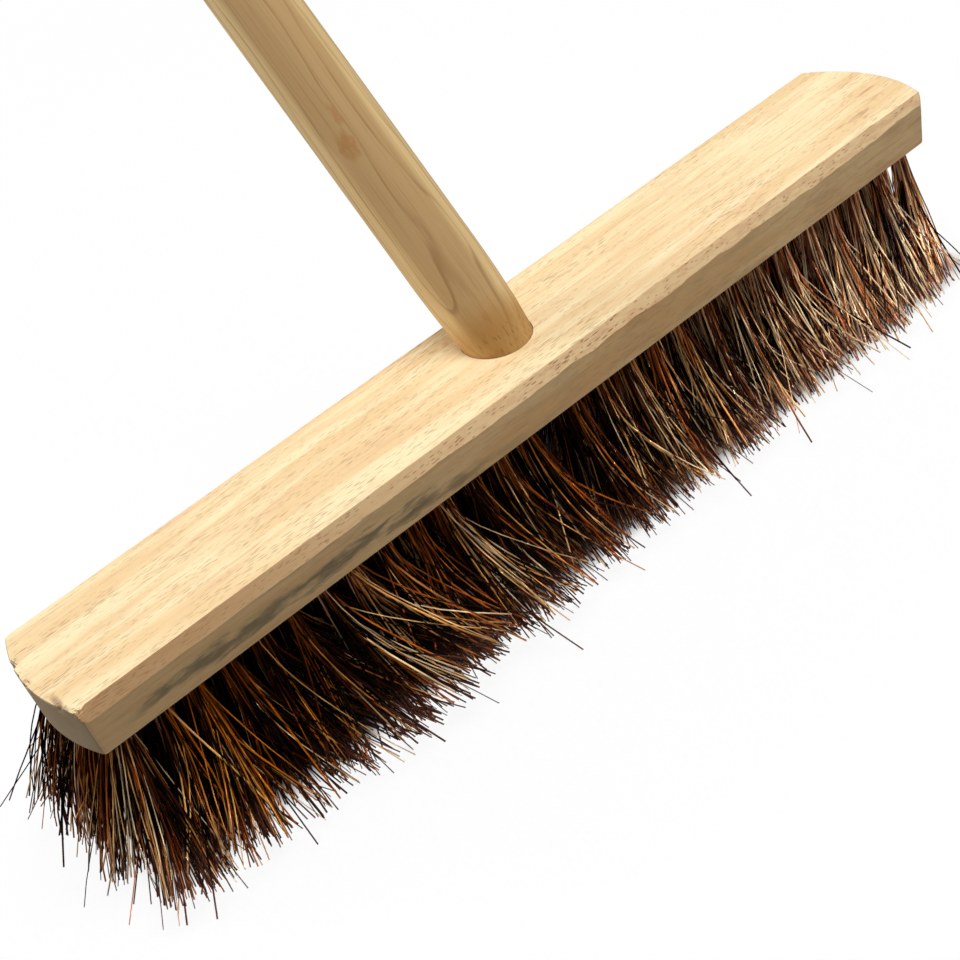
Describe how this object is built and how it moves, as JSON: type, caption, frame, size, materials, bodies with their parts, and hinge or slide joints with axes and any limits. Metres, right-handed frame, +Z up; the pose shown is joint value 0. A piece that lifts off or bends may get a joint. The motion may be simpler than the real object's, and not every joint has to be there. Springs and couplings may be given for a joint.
{
  "type": "yard brush",
  "caption": "Long-handled yard brush: bow-ended hardwood stock, round handle pushed into a leaned socket, and five rows of stiff splayed palm-fibre tufts.",
  "frame": {"origin": "centre of the stock's flat underside, where the fibre leaves the wood", "axes": "+X along the stock, +Y to the user's side, the way the handle leans, +Z up, square to the stock's top face; the bristle tips reach the floor at z = -0.068"},
  "size_m": [0.4956, 0.7347, 1.0786],
  "materials": {
    "stock_wood": "bare sanded pale hardwood with short dark pores along the grain",
    "handle_wood": "bare turned softwood dowel with brown growth lines",
    "palm_fibre": "stiff split palm fibre, dark brown with rust and straw strands"
  },
  "bodies": {
    "head": {"stock": "stock_wood", "tufts_01": "palm_fibre", "tufts_02": "palm_fibre", "tufts_03": "palm_fibre", "tufts_04": "palm_fibre", "tufts_05": "palm_fibre", "tufts_06": "palm_fibre", "tufts_07": "palm_fibre", "tufts_08": "palm_fibre", "tufts_09": "palm_fibre", "tufts_10": "palm_fibre", "tufts_11": "palm_fibre", "tufts_12": "palm_fibre", "tufts_13": "palm_fibre", "tufts_14": "palm_fibre", "tufts_15": "palm_fibre", "tufts_16": "palm_fibre", "tufts_17": "palm_fibre", "tufts_18": "palm_fibre", "tufts_19": "palm_fibre", "tufts_20": "palm_fibre", "tufts_21": "palm_fibre", "tufts_22": "palm_fibre", "tufts_23": "palm_fibre", "tufts_24": "palm_fibre", "tufts_25": "palm_fibre", "tufts_26": "palm_fibre", "tufts_27": "palm_fibre", "tufts_28": "palm_fibre"},
    "handle": {"handle": "handle_wood"}
  },
  "joints": [
    {"name": "handle_pull", "type": "slide", "parent": "head", "child": "handle", "axis": [0, 0.5592, 0.829], "range_m": [0, 0.03]}
  ]
}
